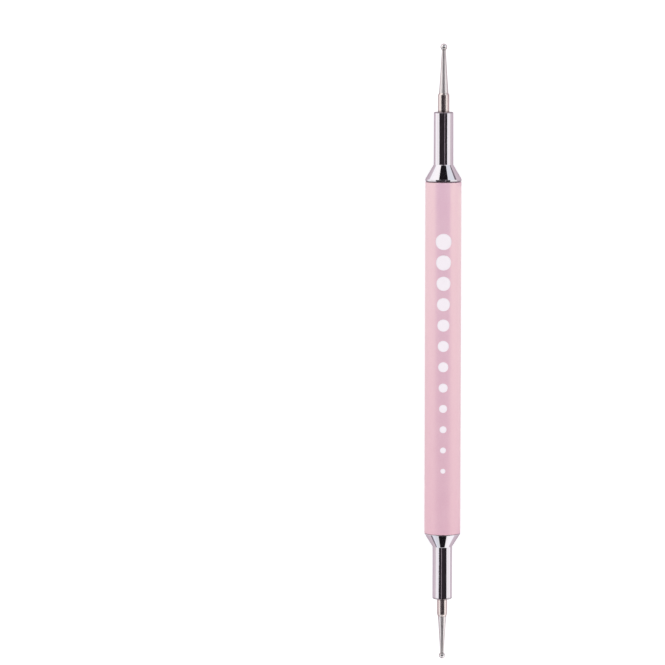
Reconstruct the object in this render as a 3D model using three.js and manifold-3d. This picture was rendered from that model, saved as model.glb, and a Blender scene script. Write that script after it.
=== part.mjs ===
// A double-ended dotting tool: a lacquered tube with a chromed nose screwed into each end, and in each nose
// a steel sleeve that holds a tapered needle with a ball on its tip. The two ends differ in size.
// Lengths are in millimetres. The tool lies along Y on the plane z = 0, its larger ball towards +Y.
import * as THREE from "three";
import { mergeVertices } from "three/addons/utils/BufferGeometryUtils.js";
import Module from "manifold-3d";

const wasm = await Module();
wasm.setup();

// Barrel tube
const barrelDiameter = 8.0;
const barrelLength = 78.4;
const barrelWall = 0.5;
const barrelEdgeChamfer = 0.15;

// Threaded bush pressed into each end of the tube
const bushLength = 5.0;
const bushWall = 0.5;
const bushMouthChamfer = 0.25;

// Screw thread between nose and bush, right-handed
const threadPitch = 1.0;
const threadDepth = 0.45;
const threadLength = 3.2;
const threadReliefLength = 0.8;
const spigotTailLength = 0.6;
const spigotTailChamfer = 0.25;

// Chromed nose: rim, cone and neck
const neckDiameter = 4.3;
const upperNeckLength = 11.65;
const lowerNeckLength = 11.8;
const upperConeLength = 3.15;
const lowerConeLength = 2.75;
const noseEdgeRadius = 0.2;
const rimEdgeRadius = 0.2;
const rimSeatChamfer = 0.2;
const upperRimHeight = 0.6;
const lowerRimHeight = 0.15;

// Steel sleeve in each nose
const upperSleeveDiameter = 2.45;
const lowerSleeveDiameter = 2.2;
const upperSleeveReach = 4.2;
const lowerSleeveReach = 3.95;
const sleeveWall = 0.25;
const sleeveSeatDepth = 12.0;
const sleeveMouthChamfer = 0.2;
const sleeveMouthLand = 0.03;

// Needle and ball
const upperNeedleReach = 10.95;
const lowerNeedleReach = 9.6;
const upperTipDiameter = 0.85;
const lowerTipDiameter = 0.75;
const upperBallDiameter = 1.55;
const lowerBallDiameter = 1.4;
const needleSeatDepth = 10.0;
const needleTailChamfer = 0.2;

// Fits, as gaps between neighbouring faces
const pressClearance = 0.03;
const threadClearance = 0.08;
const seatClearance = 0.05;
const brazeClearance = 0.02;

// Facets round each turned piece
const barrelSides = 32;
const steelSides = 24;
const arcSteps = 3;
const ballArcSteps = 10;
const threadStepsPerTurn = 16;

// How far a cut runs past the piece that it opens, and how close two corners count as one
const cutOverrun = 1;
const weldTolerance = 1e-4;

// Sizes that follow from the fits
const barrelRadius = barrelDiameter / 2;
const tubeBoreRadius = barrelRadius - barrelWall;
const bushRadius = tubeBoreRadius - pressClearance;
const threadCrestRadius = bushRadius - bushWall - threadClearance;
const threadRootRadius = threadCrestRadius - threadDepth;
const spigotLength = threadReliefLength + threadLength + spigotTailLength;
const threadPhase = -(threadReliefLength + threadLength);
const neckRadius = neckDiameter / 2;

const upperEnd = {
  rimHeight: upperRimHeight,
  coneLength: upperConeLength,
  neckLength: upperNeckLength,
  sleeveRadius: upperSleeveDiameter / 2,
  sleeveReach: upperSleeveReach,
  needleReach: upperNeedleReach,
  tipRadius: upperTipDiameter / 2,
  ballRadius: upperBallDiameter / 2,
};
const lowerEnd = {
  rimHeight: lowerRimHeight,
  coneLength: lowerConeLength,
  neckLength: lowerNeckLength,
  sleeveRadius: lowerSleeveDiameter / 2,
  sleeveReach: lowerSleeveReach,
  needleReach: lowerNeedleReach,
  tipRadius: lowerTipDiameter / 2,
  ballRadius: lowerBallDiameter / 2,
};

const point = (radius, height) => new THREE.Vector2(radius, height);

// A quarter round in a profile, from one angle to another about its centre.
function arc(centreRadius, centreHeight, radius, fromAngle, toAngle, steps = arcSteps) {
  const points = [];
  for (let i = 0; i <= steps; i++) {
    const angle = fromAngle + ((toAngle - fromAngle) * i) / steps;
    points.push(point(centreRadius + radius * Math.cos(angle), centreHeight + radius * Math.sin(angle)));
  }
  return points;
}

// A turned piece: its profile runs counter-clockwise in radius and height. A facet faces straight down.
function turned(profile, sides) {
  return new THREE.LatheGeometry(profile, sides, Math.PI / sides, 2 * Math.PI);
}

// A closed ring of material, whose profile returns to its first point.
function turnedRing(profile, sides) {
  return turned([...profile, profile[0]], sides);
}

// A geometry's triangles as a solid for joining and cutting.
function toSolid(geometry) {
  const bare = geometry.clone();
  bare.deleteAttribute("normal");
  bare.deleteAttribute("uv");
  const merged = mergeVertices(bare, weldTolerance);
  return new wasm.Manifold(
    new wasm.Mesh({
      numProp: 3,
      vertProperties: new Float32Array(merged.getAttribute("position").array),
      triVerts: new Uint32Array(merged.index.array),
    }),
  );
}

function toGeometry(solid) {
  const mesh = solid.getMesh();
  const geometry = new THREE.BufferGeometry();
  geometry.setAttribute("position", new THREE.BufferAttribute(new Float32Array(mesh.vertProperties), 3));
  geometry.setIndex(new THREE.BufferAttribute(new Uint32Array(mesh.triVerts), 1));
  return geometry;
}

// A helix round Y, whose section keeps facing away from the axis.
class Helix extends THREE.Curve {
  constructor(radius, pitch, fromHeight, toHeight) {
    super();
    this.radius = radius;
    this.pitch = pitch;
    this.fromHeight = fromHeight;
    this.toHeight = toHeight;
  }

  heightAt(t) {
    return this.fromHeight + (this.toHeight - this.fromHeight) * t;
  }

  outwardAt(t) {
    const angle = (2 * Math.PI * (this.heightAt(t) - threadPhase)) / this.pitch;
    return new THREE.Vector3(Math.sin(angle), 0, Math.cos(angle));
  }

  getPoint(t) {
    return this.outwardAt(t).multiplyScalar(this.radius).setY(this.heightAt(t));
  }

  getSpacedPoints(divisions) {
    return this.getPoints(divisions);
  }

  computeFrenetFrames(segments) {
    const frames = { tangents: [], normals: [], binormals: [] };
    for (let i = 0; i <= segments; i++) {
      const outward = this.outwardAt(i / segments);
      frames.tangents.push(new THREE.Vector3(outward.z, 0, -outward.x));
      frames.normals.push(outward);
      frames.binormals.push(new THREE.Vector3(0, -1, 0));
    }
    return frames;
  }
}

// The thread's tooth as a ridge along the helix, larger all round by the clearance where it cuts the bush.
// It is rooted a tooth's depth below the root radius, so that it joins the core.
function threadRidge(fromHeight, toHeight, clearance) {
  const rootHalfWidth = (threadPitch * 5) / 16 + clearance;
  const crestHalfWidth = threadPitch / 16 + clearance;
  const tooth = new THREE.Shape([
    point(-threadDepth, -rootHalfWidth),
    point(0, -rootHalfWidth),
    point(threadDepth + clearance, -crestHalfWidth),
    point(threadDepth + clearance, crestHalfWidth),
    point(0, rootHalfWidth),
    point(-threadDepth, rootHalfWidth),
  ]);
  const turns = (toHeight - fromHeight) / threadPitch;
  return new THREE.ExtrudeGeometry(tooth, {
    steps: Math.ceil(turns * threadStepsPerTurn),
    extrudePath: new Helix(threadRootRadius, threadPitch, fromHeight, toHeight),
  });
}

// The tube, centred on its own length, with both outer edges broken.
function barrelTube() {
  const half = barrelLength / 2;
  return turnedRing(
    [
      point(tubeBoreRadius, -half),
      point(barrelRadius - barrelEdgeChamfer, -half),
      point(barrelRadius, -half + barrelEdgeChamfer),
      point(barrelRadius, half - barrelEdgeChamfer),
      point(barrelRadius - barrelEdgeChamfer, half),
      point(tubeBoreRadius, half),
    ],
    barrelSides,
  );
}

// The pieces of one end are drawn with the tube's end face at height 0 and the tip upwards.
const noseFaceHeight = (end) => seatClearance + end.rimHeight + end.coneLength + end.neckLength;
const sleeveMouthHeight = (end) => noseFaceHeight(end) + end.sleeveReach;
const tipHeight = (end) => sleeveMouthHeight(end) + end.needleReach;
const ballCentreHeight = (end) => tipHeight(end) - end.ballRadius;
const ballSeatHeight = (end) => ballCentreHeight(end) - Math.sqrt(end.ballRadius ** 2 - end.tipRadius ** 2);
const needleRadius = (end) => end.sleeveRadius - sleeveWall - pressClearance;

// The bush, flush with the tube's end, with the thread cut right through it.
function threadedBush() {
  const boreRadius = threadRootRadius + threadClearance;
  const blank = turnedRing(
    [
      point(boreRadius, -bushLength),
      point(bushRadius, -bushLength),
      point(bushRadius, 0),
      point(boreRadius + bushMouthChamfer, 0),
      point(boreRadius, -bushMouthChamfer),
    ],
    barrelSides,
  );
  const groove = threadRidge(-bushLength - threadPitch, threadPitch, threadClearance);
  return toGeometry(toSolid(blank).subtract(toSolid(groove)));
}

// The nose in one piece with its threaded spigot, bored through for the sleeve, its rounds within its wall.
function ferrule(end) {
  const boreRadius = end.sleeveRadius + pressClearance;
  const seat = seatClearance;
  const coneFoot = seat + end.rimHeight;
  const noseFace = noseFaceHeight(end);
  const coneAngle = Math.atan2(barrelRadius - neckRadius, end.coneLength);
  const rimRound = Math.min(rimEdgeRadius, end.rimHeight / 2);
  const rimArcHeight = coneFoot - rimRound * Math.tan(coneAngle / 2);
  const seatChamfer = Math.min(rimSeatChamfer, end.rimHeight / 2);
  const noseRound = Math.min(noseEdgeRadius, (neckRadius - boreRadius) / 2);
  const tailChamfer = Math.min(spigotTailChamfer, (threadRootRadius - boreRadius) / 2);
  const body = turned(
    [
      point(0, -spigotLength),
      point(threadRootRadius - tailChamfer, -spigotLength),
      point(threadRootRadius, -spigotLength + tailChamfer),
      point(threadRootRadius, seat),
      point(barrelRadius - seatChamfer, seat),
      point(barrelRadius, seat + seatChamfer),
      ...arc(barrelRadius - rimRound, rimArcHeight, rimRound, 0, coneAngle),
      point(neckRadius, coneFoot + end.coneLength),
      ...arc(neckRadius - noseRound, noseFace - noseRound, noseRound, 0, Math.PI / 2),
      point(0, noseFace),
    ],
    barrelSides,
  );
  const tooth = threadRidge(-threadReliefLength - threadLength, -threadReliefLength, 0);
  const bore = turned(
    [
      point(0, -spigotLength - cutOverrun),
      point(boreRadius, -spigotLength - cutOverrun),
      point(boreRadius, noseFace + cutOverrun),
      point(0, noseFace + cutOverrun),
    ],
    barrelSides,
  );
  return toGeometry(toSolid(body).add(toSolid(tooth)).subtract(toSolid(bore)));
}

function shankSleeve(end) {
  const boreRadius = end.sleeveRadius - sleeveWall;
  const foot = noseFaceHeight(end) - sleeveSeatDepth;
  const mouth = sleeveMouthHeight(end);
  const chamfer = Math.min(sleeveMouthChamfer, sleeveWall - sleeveMouthLand);
  return turnedRing(
    [
      point(boreRadius, foot),
      point(end.sleeveRadius, foot),
      point(end.sleeveRadius, mouth - chamfer),
      point(end.sleeveRadius - chamfer, mouth),
      point(boreRadius, mouth),
    ],
    steelSides,
  );
}

// A straight tail in the sleeve, then a taper to the ball's seat.
function needle(end) {
  const radius = needleRadius(end);
  const mouth = sleeveMouthHeight(end);
  const tail = mouth - needleSeatDepth;
  const seat = ballSeatHeight(end) - brazeClearance;
  return turned(
    [
      point(0, tail),
      point(radius - needleTailChamfer, tail),
      point(radius, tail + needleTailChamfer),
      point(radius, mouth),
      point(end.tipRadius, seat),
      point(0, seat),
    ],
    steelSides,
  );
}

// A ball with a flat where the needle's tip is brazed on.
function ball(end) {
  const seatAngle = -Math.acos(end.tipRadius / end.ballRadius);
  const centre = ballCentreHeight(end);
  return turned(
    [
      point(0, ballSeatHeight(end)),
      ...arc(0, centre, end.ballRadius, seatAngle, Math.PI / 2, ballArcSteps).slice(0, -1),
      point(0, tipHeight(end)),
    ],
    steelSides,
  );
}

function mesh(name, geometry, color, roughness, metalness) {
  const made = new THREE.Mesh(geometry, new THREE.MeshStandardMaterial({ color, roughness, metalness }));
  made.name = name;
  return made;
}

// One end of the tool as a group that stands on the tube's end face, tip upwards.
function endPieces(prefix, end) {
  const group = new THREE.Group();
  group.add(
    mesh(prefix + "_bush", threadedBush(), 0xb08d4a, 0.35, 1),
    mesh(prefix + "_ferrule", ferrule(end), 0xdadbdd, 0.08, 1),
    mesh(prefix + "_shank_sleeve", shankSleeve(end), 0xb8aeab, 0.28, 1),
    mesh(prefix + "_needle", needle(end), 0xc2bfbe, 0.22, 1),
    mesh(prefix + "_ball", ball(end), 0xd2d1d0, 0.12, 1),
  );
  return group;
}

const tool = new THREE.Group();

// The tool's whole length is centred on the origin, so the tube sits off centre by the ends' difference.
const barrelMiddle = (tipHeight(lowerEnd) - tipHeight(upperEnd)) / 2;
const axisHeight = barrelRadius * Math.cos(Math.PI / barrelSides);

const barrel = mesh("barrel_tube", barrelTube(), 0xe3bcc8, 0.32, 0.15);
barrel.position.set(0, barrelMiddle, axisHeight);
tool.add(barrel);

const upper = endPieces("upper", upperEnd);
upper.position.set(0, barrelMiddle + barrelLength / 2, axisHeight);
tool.add(upper);

const lower = endPieces("lower", lowerEnd);
lower.position.set(0, barrelMiddle - barrelLength / 2, axisHeight);
lower.rotation.x = Math.PI;
tool.add(lower);

export default tool;
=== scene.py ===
import math

import bmesh
import bpy
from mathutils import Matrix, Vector


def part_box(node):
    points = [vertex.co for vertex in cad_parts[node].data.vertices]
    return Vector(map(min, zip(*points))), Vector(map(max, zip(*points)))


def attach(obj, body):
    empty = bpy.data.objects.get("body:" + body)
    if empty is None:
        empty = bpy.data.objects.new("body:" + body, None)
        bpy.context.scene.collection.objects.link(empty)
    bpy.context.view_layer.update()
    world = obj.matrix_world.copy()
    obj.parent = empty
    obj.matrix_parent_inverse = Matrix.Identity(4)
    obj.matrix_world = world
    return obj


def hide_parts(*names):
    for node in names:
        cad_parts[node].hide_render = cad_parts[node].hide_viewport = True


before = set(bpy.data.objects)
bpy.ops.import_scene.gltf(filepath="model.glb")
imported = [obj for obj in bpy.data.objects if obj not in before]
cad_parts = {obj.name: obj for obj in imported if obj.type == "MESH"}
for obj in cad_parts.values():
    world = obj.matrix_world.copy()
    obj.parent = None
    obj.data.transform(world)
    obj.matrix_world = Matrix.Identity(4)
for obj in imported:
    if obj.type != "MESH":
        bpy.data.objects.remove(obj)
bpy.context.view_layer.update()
mm = 0.001    # the tool's sizes below are in millimetres


class Wire:
    # one node output, so that sums of fields read as plain expressions
    def __init__(self, socket):
        self.socket = socket
        self.tree = socket.id_data

    # settings first, then values and links; a list makes several links into one socket
    @staticmethod
    def node(tree, kind, settings=None, sockets=None, output=0):
        made = tree.nodes.new(kind)
        for key, value in (settings or {}).items():
            setattr(made, key, value)
        for key, value in (sockets or {}).items():
            for item in value if isinstance(value, list) else [value]:
                if isinstance(item, Wire):
                    tree.links.new(item.socket, made.inputs[key])
                else:
                    made.inputs[key].default_value = item
        return Wire(made.outputs[output]) if len(made.outputs) else made

    def part(self, axis):
        return Wire.node(self.tree, "ShaderNodeSeparateXYZ", None, {"Vector": self}, axis)

    def calc(self, operation, other=None, flip=False):
        pair = [other, self] if flip else [self, other]
        sockets = {spot: item for spot, item in enumerate(pair) if item is not None}
        return Wire.node(self.tree, "ShaderNodeMath", {"operation": operation}, sockets)

    def clamped(self):
        return self.calc("MAXIMUM", 0.0).calc("MINIMUM", 1.0)

    def __add__(self, other):
        return self.calc("ADD", other)

    def __radd__(self, other):
        return self.calc("ADD", other, True)

    def __sub__(self, other):
        return self.calc("SUBTRACT", other)

    def __rsub__(self, other):
        return self.calc("SUBTRACT", other, True)

    def __mul__(self, other):
        return self.calc("MULTIPLY", other)

    def __rmul__(self, other):
        return self.calc("MULTIPLY", other, True)

    def __truediv__(self, other):
        return self.calc("DIVIDE", other)

    def __rtruediv__(self, other):
        return self.calc("DIVIDE", other, True)


# where the barrel lies: every turned piece shares its centre line
barrelLow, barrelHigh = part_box("barrel_tube")
barrelLength = (barrelHigh.y - barrelLow.y) / mm
axisHeight = (barrelLow.z + barrelHigh.z) / 2 / mm
ends = {
    "upper": {"sign": 1, "foot": barrelHigh.y / mm},   # the end with the larger ball
    "lower": {"sign": -1, "foot": barrelLow.y / mm},
}
fitGap = 0.03    # between parts that are pressed into each other


# how far out from the barrel's end a node starts and stops
def reach(node, end):
    low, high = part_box(node)
    spans = [(corner.y / mm - end["foot"]) * end["sign"] for corner in (low, high)]
    return min(spans), max(spans)


turning = {
    "arcSteps": 8,
    "hold": 1.04,             # a ring just past a round keeps the straight stretches flat in the light
    "longestCut": 0.48,       # share of a straight stretch that a round may take
    "sharpAngle": 40.0,       # degrees
    "onAxis": 1e-6,           # a radius too small for a ring
}


# back and ahead run from the corner to its neighbours
def roundOff(here, back, ahead, size):
    half = back.angle(ahead) / 2
    longest = turning["longestCut"]
    cut = min(size / math.tan(half), back.length * longest, ahead.length * longest)
    back.normalize()
    ahead.normalize()
    radius = cut * math.tan(half)
    centre = here + (back + ahead).normalized() * (radius / math.sin(half))
    start = here + back * cut - centre
    stop = here + ahead * cut - centre
    sweep = math.atan2(start.x * stop.y - start.y * stop.x, start.dot(stop))
    arc = []
    for step in range(turning["arcSteps"] + 1):
        turn = sweep * step / turning["arcSteps"]
        spun = (start.x * math.cos(turn) - start.y * math.sin(turn),
                start.x * math.sin(turn) + start.y * math.cos(turn))
        arc.append(centre + Vector(spun))
    return [here + back * cut * turning["hold"], *arc, here + ahead * cut * turning["hold"]]


# corners are (radius, height) or (radius, height, round), with the outside going up
def roundCorners(corners):
    line = []
    for spot, corner in enumerate(corners):
        here = Vector(corner[:2])
        if len(corner) > 2:
            back = Vector(corners[spot - 1][:2]) - here
            ahead = Vector(corners[(spot + 1) % len(corners)][:2]) - here
            line += roundOff(here, back, ahead, corner[2])
        else:
            line.append(here)
    return line


# turns a profile about the tool's centre line; a closed profile makes a ring, an open one meets the axis
def turnOnAxis(name, corners, end, finish, sides, closed):
    verts, rings, faces = [], [], []
    for radius, height in roundCorners(corners):
        ring = []
        for side in range(1 if radius < turning["onAxis"] else sides):
            angle = 2 * math.pi * side / sides
            ring.append(len(verts))
            verts.append((radius * math.sin(angle) * mm,
                          (end["foot"] + end["sign"] * height) * mm,
                          (axisHeight + end["sign"] * radius * math.cos(angle)) * mm))
        rings.append(ring)
    pairs = list(zip(rings, rings[1:]))
    if closed:
        pairs.append((rings[-1], rings[0]))
    for low, high in pairs:
        for side in range(sides):
            after = (side + 1) % sides
            quad = [ring[spot % len(ring)]
                    for ring, spot in ((low, side), (low, after), (high, after), (high, side))]
            faces.append(tuple(dict.fromkeys(quad)))   # a triangle where it meets the axis
    mesh = bpy.data.meshes.new(name)
    mesh.from_pydata(verts, [], faces)
    mesh.polygons.foreach_set("use_smooth", [True] * len(mesh.polygons))
    mesh.set_sharp_from_angle(angle=math.radians(turning["sharpAngle"]))
    mesh.materials.append(finish)
    piece = bpy.data.objects.new(name, mesh)
    bpy.context.scene.collection.objects.link(piece)
    return piece


# puts a finished piece on its body, in place of the nodes it stands for
def fitPiece(piece, body, slot, *nodes):
    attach(piece, body)
    if nodes:
        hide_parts(*nodes)


# a geometry tree with named inputs, as wires
def newTree(name, kinds):
    tree = bpy.data.node_groups.new(name, "GeometryNodeTree")
    for label, kind in kinds.items():
        tree.interface.new_socket(name=label, in_out="INPUT", socket_type=kind)
    tree.interface.new_socket(name="Geometry", in_out="OUTPUT", socket_type="NodeSocketGeometry")
    entry = tree.nodes.new("NodeGroupInput")
    return tree, {label: Wire(entry.outputs[label]) for label in kinds}


weldGap = 1e-7    # metres


# grows a tree into a plain closed mesh
def growPiece(name, tree, values):
    holder = bpy.data.objects.new(name + "Grower", bpy.data.meshes.new(name + "Seed"))
    bpy.context.scene.collection.objects.link(holder)
    grower = holder.modifiers.new("grow", "NODES")
    grower.node_group = tree
    for socket in tree.interface.items_tree:
        if socket.in_out == "INPUT":
            grower[socket.identifier] = values[socket.name]
    graph = bpy.context.evaluated_depsgraph_get()
    mesh = bpy.data.meshes.new_from_object(holder.evaluated_get(graph))
    holder.modifiers.remove(grower)
    bpy.data.objects.remove(holder)
    mesh.name = name
    shape = bmesh.new()
    shape.from_mesh(mesh)
    bmesh.ops.remove_doubles(shape, verts=shape.verts, dist=weldGap)
    bmesh.ops.recalc_face_normals(shape, faces=shape.faces)
    shape.to_mesh(mesh)
    shape.free()
    piece = bpy.data.objects.new(name, mesh)
    bpy.context.scene.collection.objects.link(piece)
    return piece


def newFinish(name):
    finish = bpy.data.materials.new(name)
    finish.use_nodes = True
    finish.node_tree.nodes.clear()
    return finish, finish.node_tree


def objectSpot(tree, stretch=(1, 1, 1)):
    spot = Wire.node(tree, "ShaderNodeTexCoord", None, None, "Object")
    return Wire.node(tree, "ShaderNodeMapping", None, {"Vector": spot, "Scale": stretch})


# a Mix node has three sets of sockets, and its colours are 6, 7 and output 2
def mixColour(tree, share, first, second):
    return Wire.node(tree, "ShaderNodeMix", {"data_type": "RGBA"}, {0: share, 6: first, 7: second}, 2)


def noise(tree, spot, scale, detail=3.0):
    return Wire.node(tree, "ShaderNodeTexNoise", None, {"Vector": spot, "Scale": scale, "Detail": detail})


def bumpOf(tree, height, strength, depth):
    return Wire.node(tree, "ShaderNodeBump", None,
                     {"Strength": strength, "Distance": depth, "Height": height})


def showSurface(tree, shader):
    Wire.node(tree, "ShaderNodeOutputMaterial", None, {"Surface": shader})


def closeFinish(tree, sockets):
    showSurface(tree, Wire.node(tree, "ShaderNodeBsdfPrincipled", None, sockets))


# where painted shade on one end's metal starts and is full, near a height above the barrel's end
def paintedDarkeningAt(end, look, height):
    start, full = [(end["foot"] + end["sign"] * (height + look[key])) * mm for key in ("start", "full")]
    return {"start": start, "full": full, "strength": look["strength"], "shade": look["shade"]}


# the same for a band of painted shade in the seam round the outside, near the barrel's end
def seamShadeAt(end, look, strength):
    middle = (end["foot"] + end["sign"] * look["middle"]) * mm
    spans = {key: look[key] * mm for key in ("reach", "inner", "fade")}
    return {"middle": middle, "strength": strength, "shade": look["shade"], **spans}


lineShare = 0.6    # of a metal's change of colour; clouds make the rest


# bright metal with lines left by turning or drawing; the stretch sets which way they run,
# and the edge how bright the metal stays at a glancing angle
def metalFinish(name, look, paintedDarkening=None, seamShade=None):
    finish, tree = newFinish(name)
    spot = objectSpot(tree)
    lines = noise(tree, objectSpot(tree, look["stretch"]), 1.0)
    cloud = noise(tree, spot, look["cloudScale"])
    shade = mixColour(tree, lines * lineShare + cloud * (1 - lineShare), look["deep"], look["pale"])
    # painted shade: the metal darkens in a band near where pieces meet, where shade and dark reflections
    # fall
    if paintedDarkening:
        darkened = (spot.part("Y") - paintedDarkening["start"]) / (paintedDarkening["full"] - paintedDarkening["start"])
        shade = mixColour(tree, darkened.clamped() * paintedDarkening["strength"], shade, paintedDarkening["shade"])
    # painted shade in the seam by the barrel, kept off the seat face inside
    if seamShade:
        across = spot.part("X")
        rise = spot.part("Z") - axisHeight * mm
        radius = (across * across + rise * rise).calc("SQRT")
        near = 1 - (spot.part("Y") - seamShade["middle"]).calc("ABSOLUTE") / seamShade["reach"]
        inSeamShade = near.clamped() * ((radius - seamShade["inner"]) / seamShade["fade"]).clamped()
        shade = mixColour(tree, inSeamShade * seamShade["strength"], shade, seamShade["shade"])
    closeFinish(tree, {
        "Base Color": shade,
        "Metallic": 1.0,
        "Specular Tint": look["edge"],
        "Roughness": lines * look["roughnessSwing"] + look["roughness"],
        "Normal": bumpOf(tree, lines, look["lineStrength"], look["lineDepth"]),
    })
    return finish


barrel = {
    "radius": 4.0,
    "wall": 0.5,
    "edgeRound": 0.12,
    "boreRound": 0.08,
    "sides": 192,
}
pearlPink = {
    "pale": (0.87, 0.57, 0.74, 1),
    "deep": (0.77, 0.39, 0.605, 1),
    "flakeShare": 0.2,        # what moves the colour from deep to pale
    "cloudShare": 0.3,
    # painted light: the lacquer is paler towards the larger ball's end
    "paintedLightShare": 0.5,
    "flakeScale": 7000.0,     # flakes to the metre
    "cloudScale": 130.0,
    "cloudDetail": 4.0,
    "peelScale": 1500.0,
    "peelStrength": 0.12,
    "peelDepth": 0.00003,     # metres
    "roughness": 0.3,
    "roughnessSwing": 0.08,
    "handled": 0.16,          # duller where it is held, towards the smaller ball
    "pearlIndex": 2.6,        # the flakes mirror more than plain lacquer does
    "pearlTint": (1.0, 0.97, 0.40, 1),
    "coat": 0.08,
    "coatRoughness": 0.16,
}


def lacquerFinish(look):
    finish, tree = newFinish("pinkLacquer")
    spot = objectSpot(tree)
    flake = Wire.node(tree, "ShaderNodeTexVoronoi", {"feature": "F1"},
                      {"Vector": spot, "Scale": look["flakeScale"]}, "Color")
    glint = Wire.node(tree, "ShaderNodeSeparateColor", None, {"Color": flake})
    cloud = noise(tree, spot, look["cloudScale"], look["cloudDetail"])
    peel = noise(tree, spot, look["peelScale"])
    rise = (spot.part("Y") - barrelLow.y) / (barrelHigh.y - barrelLow.y)   # 1 at the larger ball's end
    # painted light: the colour pales along the barrel towards the larger ball's end
    paleness = glint * look["flakeShare"] + cloud * look["cloudShare"] + rise * look["paintedLightShare"]
    leastRough = look["roughness"] - look["roughnessSwing"] / 2
    closeFinish(tree, {
        "Base Color": mixColour(tree, paleness, look["deep"], look["pale"]),
        "Roughness": cloud * look["roughnessSwing"] + (1 - rise) * look["handled"] + leastRough,
        "IOR": look["pearlIndex"],
        "Specular Tint": look["pearlTint"],
        "Coat Weight": look["coat"],
        "Coat Roughness": look["coatRoughness"],
        "Normal": bumpOf(tree, peel, look["peelStrength"], look["peelDepth"]),
    })
    return finish


def makeBarrel():
    bore = barrel["radius"] - barrel["wall"]
    wholeLength = {"sign": 1, "foot": ends["lower"]["foot"]}
    shell = turnOnAxis("barrel_shell", [
        (bore, 0, barrel["boreRound"]),
        (barrel["radius"], 0, barrel["edgeRound"]),
        (barrel["radius"], barrelLength, barrel["edgeRound"]),
        (bore, barrelLength, barrel["boreRound"]),
    ], wholeLength, lacquerFinish(pearlPink), barrel["sides"], True)
    fitPiece(shell, "barrel", "pink_lacquer", "barrel_tube")


makeBarrel()
print("barrel turned")


# the steel sleeve that stands out of each nose, drawn in a little at its mouth
sleeve = {
    "radius": {"upper": 1.225, "lower": 1.1},
    "wall": 0.25,
    "drawIn": 0.21,
    "drawLength": {"upper": 0.4, "lower": 0.43},
    "footRound": 0.05,
    "shoulderRound": 0.06,
    "mouthRound": 0.03,
    "sides": 128,
}
sleeveSteel = {
    "pale": (0.87, 0.785, 0.755, 1),
    "deep": (0.70, 0.60, 0.565, 1),
    "edge": (0.45, 0.4, 0.38, 1),
    "stretch": (600, 18000, 600),
    "cloudScale": 700.0,
    "lineStrength": 0.12,
    "lineDepth": 0.000004,
    "roughness": 0.13,
    "roughnessSwing": 0.08,
    "paintedDarkening": {                # painted shade at the sleeve's foot, above the nose face
        "start": 0.45,
        "full": 0.1,
        "strength": 0.7,
        "shade": (0.17, 0.13, 0.12, 1),
    },
}


def makeSleeve(side, end):
    radius = sleeve["radius"][side]
    bore = radius - sleeve["wall"]
    foot, mouth = reach(side + "_shank_sleeve", end)
    face = reach(side + "_ferrule", end)[1]
    finish = metalFinish(side + "SleeveSteel", sleeveSteel, paintedDarkeningAt(end, sleeveSteel["paintedDarkening"], face))
    tube = turnOnAxis(side + "_steel_sleeve", [
        (bore, foot),
        (radius, foot, sleeve["footRound"]),
        (radius, mouth - sleeve["drawLength"][side], sleeve["shoulderRound"]),
        (radius - sleeve["drawIn"], mouth, sleeve["mouthRound"]),
        (bore, mouth),
    ], end, finish, sleeve["sides"], True)
    fitPiece(tube, side + "_shank", "steel_sleeve", side + "_shank_sleeve")


# the chromed nose: spigot, rim, cone and neck
nose = {
    "rimRadius": barrel["radius"],
    "seatGap": 0.05,
    "neckRadius": 2.15,
    "bevelLength": 0.14,      # the broken edge round the nose face
    "bevelDepth": 0.18,
    "bevelRound": 0.05,
    "boreChamfer": 0.08,
    "boreRound": 0.02,
    "threadRoot": 2.44,
    "shoulderRound": 0.1,     # between spigot and rim
    "tailChamfer": 0.25,
    "tailRound": 0.05,
    "grooveRound": 0.02,
    "rimFootRound": 0.04,
    "sides": 192,
    "upper": {
        "rimHeight": 0.58,
        "rimRound": 0.07,
        "groove": 0.16,       # a bevel that leaves a shadow line by the barrel
        "grooveDepth": 0.22,
        "cone": 3.17,
        "coneRound": 0.3,     # the hollow corner between cone and neck
        "seamShade": 0.7,          # painted shade in the seam
    },
    "lower": {
        "rimHeight": 0.1,     # this cone starts close to the barrel
        "rimRound": 0.03,
        "groove": 0.02,
        "grooveDepth": 0.3,
        "cone": 2.88,
        "coneRound": 0.22,
        "seamShade": 0.0,
    },
}
chromePlate = {
    "pale": (0.81, 0.78, 0.815, 1),
    "deep": (0.76, 0.73, 0.765, 1),
    "edge": (0.84, 0.82, 0.85, 1),
    "stretch": (500, 26000, 500),
    "cloudScale": 400.0,
    "lineStrength": 0.05,
    "lineDepth": 0.000002,
    "roughness": 0.045,
    "roughnessSwing": 0.03,
    "paintedDarkening": {                # painted dark reflection below the nose face
        "upper": {"start": -0.28, "full": -0.1, "strength": 0.68, "shade": (0.22, 0.19, 0.21, 1)},
        "lower": {"start": -0.44, "full": -0.2, "strength": 0.66, "shade": (0.22, 0.19, 0.21, 1)},
    },
    "seamShade": {                 # painted shade in the seam by the barrel, on the outside only
        "middle": 0.12,
        "reach": 0.4,
        "inner": 3.5,
        "fade": 0.25,
        "shade": (0.16, 0.14, 0.16, 1),
    },
}


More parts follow.
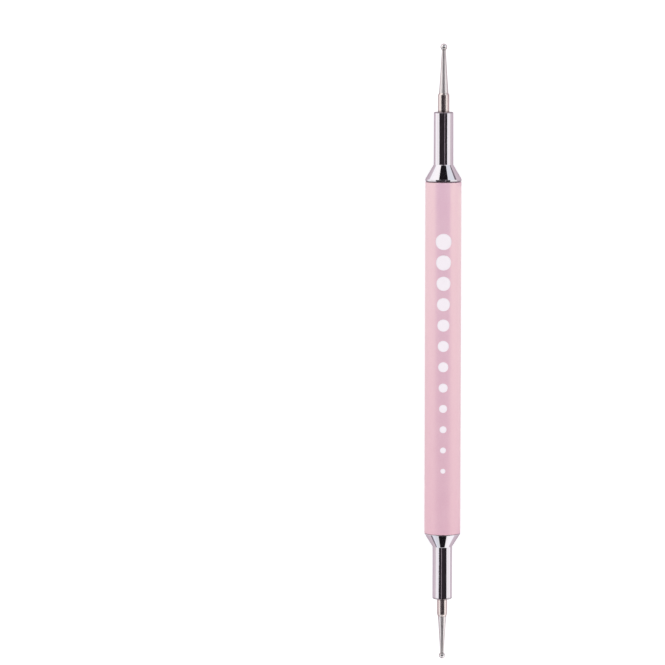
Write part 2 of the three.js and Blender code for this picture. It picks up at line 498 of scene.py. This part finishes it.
def makeNose(side, end):
    own = nose[side]
    bore = sleeve["radius"][side] + fitGap
    tail, face = reach(side + "_ferrule", end)
    seat = nose["seatGap"]
    coneFoot = seat + own["rimHeight"]
    finish = metalFinish(side + "ChromePlate", chromePlate,
                         paintedDarkeningAt(end, chromePlate["paintedDarkening"][side], face),
                         seamShadeAt(end, chromePlate["seamShade"], own["seamShade"]))
    body = turnOnAxis(side + "_nose_body", [
        (bore, tail, nose["tailRound"]),
        (nose["threadRoot"] - nose["tailChamfer"], tail),
        (nose["threadRoot"], tail + nose["tailChamfer"]),
        (nose["threadRoot"], seat, nose["shoulderRound"]),
        (nose["rimRadius"] - own["grooveDepth"], seat, nose["grooveRound"]),
        (nose["rimRadius"], seat + own["groove"], nose["rimFootRound"]),
        (nose["rimRadius"], coneFoot, own["rimRound"]),
        (nose["neckRadius"], coneFoot + own["cone"], own["coneRound"]),
        (nose["neckRadius"], face - nose["bevelLength"], nose["bevelRound"]),
        (nose["neckRadius"] - nose["bevelDepth"], face, nose["bevelRound"]),
        (bore + nose["boreChamfer"], face, nose["boreRound"]),
        (bore, face - nose["boreChamfer"], nose["boreRound"]),
    ], end, finish, nose["sides"], True)
    fitPiece(body, side + "_nose", "chrome_nose", side + "_ferrule")


for side, end in ends.items():
    makeNose(side, end)
    makeSleeve(side, end)
print("noses and sleeves turned")


# the needle flares at its root and runs from the waist to the tip in a long taper
needle = {
    "upper": {"root": 1.02, "waist": 0.715, "waistAt": 4.5, "tip": 0.425},
    "lower": {"root": 0.92, "waist": 0.775, "waistAt": 1.8, "tip": 0.375},
    "tailChamfer": 0.2,
    "tailRound": 0.1,
    "waistRound": 20.0,
    "edgeRound": 0.02,
    "sides": 96,
}
needleSteel = {
    "pale": (0.90, 0.855, 0.845, 1),
    "deep": (0.74, 0.69, 0.675, 1),
    "edge": (0.25, 0.22, 0.21, 1),
    "stretch": (9000, 900, 9000),
    "cloudScale": 900.0,
    "lineStrength": 0.25,
    "lineDepth": 0.000004,
    "roughness": 0.25,
    "roughnessSwing": 0.08,
    "paintedDarkening": {                # painted shade towards the ball, below the ball's seat
        "start": -5.2,
        "full": -1.2,
        "strength": 0.3,
        "shade": (0.34, 0.29, 0.275, 1),
    },
}


def makeNeedle(side, end):
    own = needle[side]
    radius = sleeve["radius"][side] - sleeve["wall"] - fitGap
    mouth = reach(side + "_shank_sleeve", end)[1]
    tail, seat = reach(side + "_needle", end)
    finish = metalFinish(side + "NeedleSteel", needleSteel, paintedDarkeningAt(end, needleSteel["paintedDarkening"], seat))
    pin = turnOnAxis(side + "_needle_body", [
        (0, tail),
        (radius - needle["tailChamfer"], tail),
        (radius, tail + needle["tailChamfer"], needle["tailRound"]),
        (radius, mouth + fitGap),
        (own["root"], mouth + fitGap, needle["edgeRound"]),
        (own["waist"], mouth + own["waistAt"], needle["waistRound"]),
        (own["tip"], seat, needle["edgeRound"]),
        (0, seat),
    ], end, finish, needle["sides"], False)
    fitPiece(pin, side + "_nose", "steel_needle", side + "_needle")


# the ball, with a fillet of braze that runs down round the needle's tip
ball = {
    "radius": {"upper": 0.775, "lower": 0.7},
    "arcSteps": 40,
    "brazeDepth": 0.16,
    "brazeGap": 0.004,
    "brazeFilm": 0.02,
    "brazeRound": 0.01,       # at its lower edge
    "filletSpread": 0.01,
    "filletHeight": 0.02,     # above the ball's seat
    "filletRound": 0.2,
    "filletRise": 12.0,       # degrees of the ball that the fillet takes
    "sides": 96,
}
ballSteel = {
    "pale": (0.88, 0.855, 0.845, 1),
    "deep": (0.74, 0.715, 0.705, 1),
    "edge": (1, 1, 1, 1),
    "stretch": (5000, 5000, 5000),
    "cloudScale": 2500.0,
    "lineStrength": 0.15,
    "lineDepth": 0.000003,
    "roughness": 0.08,
    "roughnessSwing": 0.08,
    "paintedDarkening": {                # painted shade at the joint with the needle, below the ball's centre
        "start": 0.0,
        "full": -0.3,
        "strength": 0.5,
        "shade": (0.20, 0.16, 0.15, 1),
    },
}


def makeBall(side, end):
    radius = ball["radius"][side]
    tip = needle[side]["tip"]
    seat, top = reach(side + "_ball", end)
    centre = top - radius
    brazeFoot = seat - ball["brazeDepth"]
    film = tip + ball["brazeFilm"]
    start = -math.acos(tip / radius) + math.radians(ball["filletRise"])
    steps = ball["arcSteps"]
    angles = [start + (math.pi / 2 - start) * step / steps for step in range(steps)]
    finish = metalFinish(side + "BallSteel", ballSteel, paintedDarkeningAt(end, ballSteel["paintedDarkening"], centre))
    bead = turnOnAxis(side + "_ball_tip", [
        (0, seat),
        (tip + ball["brazeGap"], seat),
        (tip + ball["brazeGap"], brazeFoot),
        (film, brazeFoot, ball["brazeRound"]),
        (film + ball["filletSpread"], seat + ball["filletHeight"], ball["filletRound"]),
        *[(radius * math.cos(angle), centre + radius * math.sin(angle)) for angle in angles],
        (0, top),
    ], end, finish, ball["sides"], False)
    fitPiece(bead, side + "_nose", "polished_ball", side + "_ball")


for side, end in ends.items():
    makeNeedle(side, end)
    makeBall(side, end)
print("needles and balls turned")


thread = {
    "pitch": 1.0,
    "depth": 0.45,
    "length": 3.2,
    "relief": 0.8,            # plain spigot between thread and rim
    "embed": 0.2,             # how far the ridge is rooted in the spigot
    "footShare": 0.625,       # widths at the spigot and at the crest, in pitches
    "crestShare": 0.125,
    "stepsPerTurn": 64,
}
bushBrass = {
    "pale": (0.80, 0.60, 0.30, 1),
    "deep": (0.62, 0.43, 0.19, 1),
    "edge": (1, 1, 1, 1),
    "stretch": (500, 12000, 500),
    "cloudScale": 500.0,
    "lineStrength": 0.3,
    "lineDepth": 0.000005,
    "roughness": 0.22,
    "roughnessSwing": 0.12,
}


# a right-hand ridge wound round the spigot, its section set square to the axis
def threadTree():
    tree, given = newTree("screwThread", {
        "Pitch": "NodeSocketFloat", "Turns": "NodeSocketFloat", "Middle": "NodeSocketFloat",
        "Tooth": "NodeSocketFloat", "Foot": "NodeSocketFloat", "Crest": "NodeSocketFloat",
        "Steps": "NodeSocketInt", "Turning": "NodeSocketRotation", "Place": "NodeSocketVector",
        "Finish": "NodeSocketMaterial",
    })
    path = Wire.node(tree, "GeometryNodeCurveSpiral", None, {
        "Resolution": given["Steps"], "Rotations": given["Turns"], "Start Radius": given["Middle"],
        "End Radius": given["Middle"], "Height": given["Pitch"] * given["Turns"]})
    path = Wire.node(tree, "GeometryNodeSetCurveNormal", {"mode": "Z_UP"}, {"Curve": path})
    tooth = Wire.node(tree, "GeometryNodeCurvePrimitiveQuadrilateral", {"mode": "TRAPEZOID"}, {
        "Bottom Width": given["Foot"], "Top Width": given["Crest"],
        "Height": given["Tooth"], "Offset": 0.0})
    tooth = Wire.node(tree, "GeometryNodeTransform", None,
                      {"Geometry": tooth, "Rotation": (0, 0, -math.pi / 2)})
    ridge = Wire.node(tree, "GeometryNodeCurveToMesh", None,
                      {"Curve": path, "Profile Curve": tooth, "Fill Caps": True})
    ridge = Wire.node(tree, "GeometryNodeTransform", None,
                      {"Geometry": ridge, "Rotation": given["Turning"], "Translation": given["Place"]})
    ridge = Wire.node(tree, "GeometryNodeRealizeInstances", None, {"Geometry": ridge})
    ridge = Wire.node(tree, "GeometryNodeSetMaterial", None,
                      {"Geometry": ridge, "Material": given["Finish"]})
    Wire.node(tree, "NodeGroupOutput", None, {"Geometry": ridge})
    return tree


def windThread(side, end, tree, finish):
    start = end["foot"] - end["sign"] * (thread["relief"] + thread["length"])
    flank = (thread["footShare"] - thread["crestShare"]) / thread["depth"]
    rootShare = thread["footShare"] + thread["embed"] * flank
    ridge = growPiece(side + "_nose_thread", tree, {
        "Pitch": thread["pitch"] * mm,
        "Turns": thread["length"] / thread["pitch"],
        "Middle": (nose["threadRoot"] + (thread["depth"] - thread["embed"]) / 2) * mm,
        "Tooth": (thread["depth"] + thread["embed"]) * mm,
        "Foot": thread["pitch"] * rootShare * mm,
        "Crest": thread["pitch"] * thread["crestShare"] * mm,
        "Steps": thread["stepsPerTurn"],
        "Turning": (-math.pi / 2 * end["sign"], 0, 0),
        "Place": (0, start * mm, axisHeight * mm),
        "Finish": finish,
    })
    fitPiece(ridge, side + "_nose", "chrome_nose")


# chrome without the painted shade, for the threads
plainChrome = metalFinish("chromePlate", chromePlate)
brass = metalFinish("bushBrass", bushBrass)
screwTree = threadTree()
for side, end in ends.items():
    windThread(side, end, screwTree, plainChrome)
    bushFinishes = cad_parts[side + "_bush"].data.materials   # the bushes keep their own shape
    bushFinishes.clear()
    bushFinishes.append(brass)
print("threads wound")


dots = {
    "count": 12,
    "largest": 3.6,
    "smallest": 1.1,
    "first": 25.0,            # of the row, along the tool, near the larger ball
    "last": -26.0,
    "film": 0.02,
    "sink": 0.04,
    "facets": 17,             # points across a dot
}
printInk = {
    "pale": (0.96, 0.90, 0.92, 1),
    "deep": (0.89, 0.82, 0.85, 1),
    "grainScale": 5000.0,
    "grainStrength": 0.1,
    "grainDepth": 0.00001,    # metres
    "roughness": 0.45,
    "roughnessSwing": 0.1,
}


def inkFinish(look):
    finish, tree = newFinish("whiteInk")
    grain = noise(tree, objectSpot(tree), look["grainScale"])
    closeFinish(tree, {
        "Base Color": mixColour(tree, grain, look["deep"], look["pale"]),
        "Roughness": grain * look["roughnessSwing"] + look["roughness"],
        "Normal": bumpOf(tree, grain, look["grainStrength"], look["grainDepth"]),
    })
    return finish


# a row of graded dots printed along the barrel, wrapped round it
def dotTree():
    tree, given = newTree("printedDots", {
        "Count": "NodeSocketInt", "Largest": "NodeSocketFloat", "Smallest": "NodeSocketFloat",
        "First": "NodeSocketVector", "Last": "NodeSocketVector", "Barrel": "NodeSocketFloat",
        "Axis": "NodeSocketFloat", "Film": "NodeSocketFloat", "Facets": "NodeSocketInt",
        "Finish": "NodeSocketMaterial",
    })
    row = Wire.node(tree, "GeometryNodeMeshLine", {"mode": "END_POINTS"},
                    {"Count": given["Count"], "Start Location": given["First"], "Offset": given["Last"]})
    square = Wire.node(tree, "GeometryNodeMeshGrid", None, {
        "Size X": 2.0, "Size Y": 2.0, "Vertices X": given["Facets"], "Vertices Y": given["Facets"]})
    flat = Wire.node(tree, "GeometryNodeInputPosition")
    across = flat.part("X")
    along = flat.part("Y")
    rounded = Wire.node(tree, "ShaderNodeCombineXYZ", None, {   # the square drawn in to a disc of radius 1
        "X": across * (1 - along * along * 0.5).calc("SQRT"),
        "Y": along * (1 - across * across * 0.5).calc("SQRT")})
    disc = Wire.node(tree, "GeometryNodeSetPosition", None, {"Geometry": square, "Position": rounded})
    share = Wire.node(tree, "GeometryNodeInputIndex") / (given["Count"] - 1)
    width = given["Largest"] + (given["Smallest"] - given["Largest"]) * share
    row = Wire.node(tree, "GeometryNodeInstanceOnPoints", None,
                    {"Points": row, "Instance": disc, "Scale": width * 0.5})
    row = Wire.node(tree, "GeometryNodeRealizeInstances", None, {"Geometry": row})
    spot = Wire.node(tree, "GeometryNodeInputPosition")
    angle = spot.part("X") / given["Barrel"]
    wrapped = Wire.node(tree, "ShaderNodeCombineXYZ", None, {
        "X": given["Barrel"] * angle.calc("SINE"),
        "Y": spot.part("Y"),
        "Z": given["Axis"] + given["Barrel"] * angle.calc("COSINE")})
    row = Wire.node(tree, "GeometryNodeSetPosition", None, {"Geometry": row, "Position": wrapped})
    raised = Wire.node(tree, "GeometryNodeExtrudeMesh", {"mode": "FACES"},
                       {"Mesh": row, "Offset Scale": given["Film"], "Individual": False})
    under = Wire.node(tree, "GeometryNodeFlipFaces", None, {"Mesh": row})
    row = Wire.node(tree, "GeometryNodeJoinGeometry", None, {"Geometry": [raised, under]})
    row = Wire.node(tree, "GeometryNodeSetShadeSmooth", None, {"Geometry": row})
    row = Wire.node(tree, "GeometryNodeSetMaterial", None, {"Geometry": row, "Material": given["Finish"]})
    Wire.node(tree, "NodeGroupOutput", None, {"Geometry": row})
    return tree


dotRow = growPiece("printed_dots", dotTree(), {
    "Count": dots["count"],
    "Largest": dots["largest"] * mm,
    "Smallest": dots["smallest"] * mm,
    "First": (0, dots["first"] * mm, 0),
    "Last": (0, dots["last"] * mm, 0),
    "Barrel": (barrel["radius"] - dots["sink"]) * mm,
    "Axis": axisHeight * mm,
    "Film": (dots["sink"] + dots["film"]) * mm,
    "Facets": dots["facets"],
    "Finish": inkFinish(printInk),
})
fitPiece(dotRow, "barrel", "pink_lacquer")
print("dots printed")


# the room is in metres
studio = {
    "floorSpan": 12.0,
    "floorHeight": -0.00005,
    "floorColour": (0.58, 0.58, 0.58, 1),
    "floorGlow": 0.6,
    "warm": (1.03, 1.0, 0.985, 1),     # level with the tool
    "cool": (1.0, 1.0, 1.06, 1),       # overhead
    "dim": (0.83, 0.88, 0.93, 1),      # towards two opposite corners of the room
    "bright": (1.16, 1.15, 1.15, 1),   # towards the other two
    "cornerGain": 4.0,                 # how fast the corners' tints come in, and where
    "cornerStart": 0.5,
    "endFall": 0.22,                   # how much the sky falls off beyond the tool's ends
    "endNarrow": 1.7,
    "skyLight": 1.05,
}


def flatCard(name, finish, corners):
    mesh = bpy.data.meshes.new(name)
    mesh.from_pydata(corners, [], [(0, 1, 2, 3)])
    mesh.materials.append(finish)
    card = bpy.data.objects.new(name, mesh)
    bpy.context.scene.collection.objects.link(card)
    return card


def level(height, *spots):
    return [(x, y, height) for x, y in spots]


def oblong(height, start, stop):
    return level(height, start, (stop[0], start[1]), stop, (start[0], stop[1]))


def upright(low, high, start, stop):
    return [(*start, low), (*stop, low), (*stop, high), (*start, high)]


# matt, and glowing only to the eye and in mirrors, so that it looks white and still takes the shadow
def floorFinish():
    finish, tree = newFinish("paleFloor")
    direct, mirrored, through = [Wire.node(tree, "ShaderNodeLightPath", None, None, kind)
                                 for kind in ("Is Camera Ray", "Is Glossy Ray", "Is Transmission Ray")]
    seen = direct.calc("MAXIMUM", mirrored).calc("MAXIMUM", through)
    matt = Wire.node(tree, "ShaderNodeBsdfDiffuse", None, {"Color": studio["floorColour"]})
    glow = Wire.node(tree, "ShaderNodeEmission", None, {"Strength": seen * studio["floorGlow"]})
    showSurface(tree, Wire.node(tree, "ShaderNodeAddShader", None, {0: matt, 1: glow}))
    return finish


def mattFinish(name, colour):
    finish, tree = newFinish(name)
    showSurface(tree, Wire.node(tree, "ShaderNodeBsdfDiffuse", None, {"Color": colour}))
    return finish


span = studio["floorSpan"] / 2
flatCard("floor", floorFinish(), oblong(studio["floorHeight"], (-span, -span), (span, span)))

# cards round the tool, which only its bright metal and its gloss mirror
cardColours = {
    "darkCard": (0.045, 0.036, 0.042, 1),
    "blackCard": (0.014, 0.012, 0.015, 1),
    "greyCard": (0.40, 0.38, 0.40, 1),
    "paleCard": (0.48, 0.41, 0.45, 1),
    # the edge boards, seen only in mirrors, are a painted stand-in for the floor's shade beside the tool
    "edgeBoard": (0.755, 0.65, 0.685, 1),
    "darkLine": (0.21, 0.18, 0.205, 1),
    "hazeCard": (0.90, 0.92, 0.97, 1),
}
cardHeights = {
    "overhead": 0.9,
    "lowerOverhead": 0.89,
    "streak": 0.88,
    "wall": 0.023,
    "board": studio["floorHeight"] + 0.00002,
    "line": studio["floorHeight"] + 0.00003,
}
mirrorCards = {
    "overhead_card": ("darkCard", level(
        cardHeights["overhead"], (-1.7, 0.18), (0.56, 0.18), (1.36, -0.42), (-0.2, -0.42))),
    "lower_overhead": ("darkCard", level(
        cardHeights["lowerOverhead"], (-0.86, -0.22), (1.02, -0.22), (1.05, -0.5), (-0.9, -0.5))),
    "upper_strip": ("greyCard", oblong(cardHeights["overhead"], (-0.28, 0.18), (0.28, 1.2))),
    "upper_end_card": ("blackCard", upright(0.255, cardHeights["overhead"], (-0.54, 1.2), (0.54, 1.2))),
    "lower_end_card": ("blackCard", upright(0.03, 0.6, (-0.335, -1.2), (0.37, -1.2))),
    "upper_streak": ("paleCard", oblong(cardHeights["streak"], (0.14, -0.1), (0.26, 0.17))),
    "lower_streak": ("paleCard", oblong(cardHeights["streak"], (-0.21, -0.12), (-0.09, -0.42))),
    "upper_board": ("edgeBoard", level(
        cardHeights["board"], (-0.016, 0.038), (0.3, 0.021), (0.3, 0.45), (-0.016, 0.45))),
    "lower_board": ("edgeBoard", level(
        cardHeights["board"], (0.0165, -0.0395), (-0.3, -0.083), (-0.3, -0.105), (0.0165, -0.06))),
    "lower_near": ("edgeBoard", oblong(cardHeights["board"], (0.0095, -0.058), (-0.0155, -0.45))),
    "upper_wall": ("edgeBoard", upright(0.0, cardHeights["wall"], (0.3, 0.021), (0.3, 0.06))),
    "lower_wall": ("edgeBoard", upright(0.0, cardHeights["wall"], (-0.3, -0.084), (-0.3, -0.15))),
    "upper_line": ("darkLine", oblong(cardHeights["line"], (0.022, 0.0545), (0.12, 0.16))),
    "lower_line": ("darkLine", level(
        cardHeights["line"], (-0.0155, -0.0575), (-0.03, -0.063), (-0.03, -0.12), (-0.0155, -0.12))),
    "lower_haze": ("hazeCard", level(
        cardHeights["board"], (-0.03, -0.066), (-0.3, -0.11), (-0.3, -0.45), (-0.03, -0.45))),
}
cardFinishes = {name: mattFinish(name, colour) for name, colour in cardColours.items()}
for name, (finish, corners) in mirrorCards.items():
    card = flatCard(name, cardFinishes[finish], corners)
    card.visible_camera = False
    card.visible_diffuse = False
    card.visible_shadow = False


def softSky():
    sky = bpy.data.worlds.new("softSky")
    sky.use_nodes = True
    tree = sky.node_tree
    tree.nodes.clear()
    way = Wire.node(tree, "ShaderNodeTexCoord", None, None, "Generated")
    across = way.part("X")
    along = way.part("Y")
    corner = across * along * studio["cornerGain"]
    dimShare = (corner - studio["cornerStart"]).clamped()
    brightShare = (-studio["cornerStart"] - corner).clamped()
    tint = mixColour(tree, way.part("Z").calc("ABSOLUTE"), studio["warm"], studio["cool"])
    tint = mixColour(tree, dimShare, tint, studio["dim"])
    tint = mixColour(tree, brightShare, tint, studio["bright"])
    narrow = (1 - across.calc("ABSOLUTE") * studio["endNarrow"]).calc("MAXIMUM", 0.0)
    fall = narrow * along.calc("ABSOLUTE")
    strength = (1 - fall * studio["endFall"]) * studio["skyLight"]
    light = Wire.node(tree, "ShaderNodeBackground", None, {"Color": tint, "Strength": strength})
    Wire.node(tree, "ShaderNodeOutputWorld", None, {"Surface": light})
    return sky


bpy.context.scene.world = softSky()

view = {
    "pixels": 665,
    "mmPerPixel": 0.2220,     # at the aim point
    "distance": 1100.0,
    "tilt": 5.6,              # degrees from straight above, towards the larger ball
    "roll": 0.06,
    "aim": (-24.63, 4.50),    # the middle of the frame, across and along the tool
    "sensor": 36.0,
    "clip": (0.01, 50.0),     # metres
}
lens = bpy.data.cameras.new("camera")
lens.sensor_width = view["sensor"]
lens.lens = view["sensor"] * view["distance"] / (view["pixels"] * view["mmPerPixel"])
lens.clip_start, lens.clip_end = view["clip"]
camera = bpy.data.objects.new("camera", lens)
tilt = math.radians(view["tilt"])
camera.location = (view["aim"][0] * mm,
                   (view["aim"][1] + view["distance"] * math.sin(tilt)) * mm,
                   (axisHeight + view["distance"] * math.cos(tilt)) * mm)
camera.rotation_euler = (-tilt, 0, math.radians(view["roll"]))
bpy.context.scene.collection.objects.link(camera)
bpy.context.scene.camera = camera
bpy.context.scene.view_settings.view_transform = "Standard"
print("studio set")
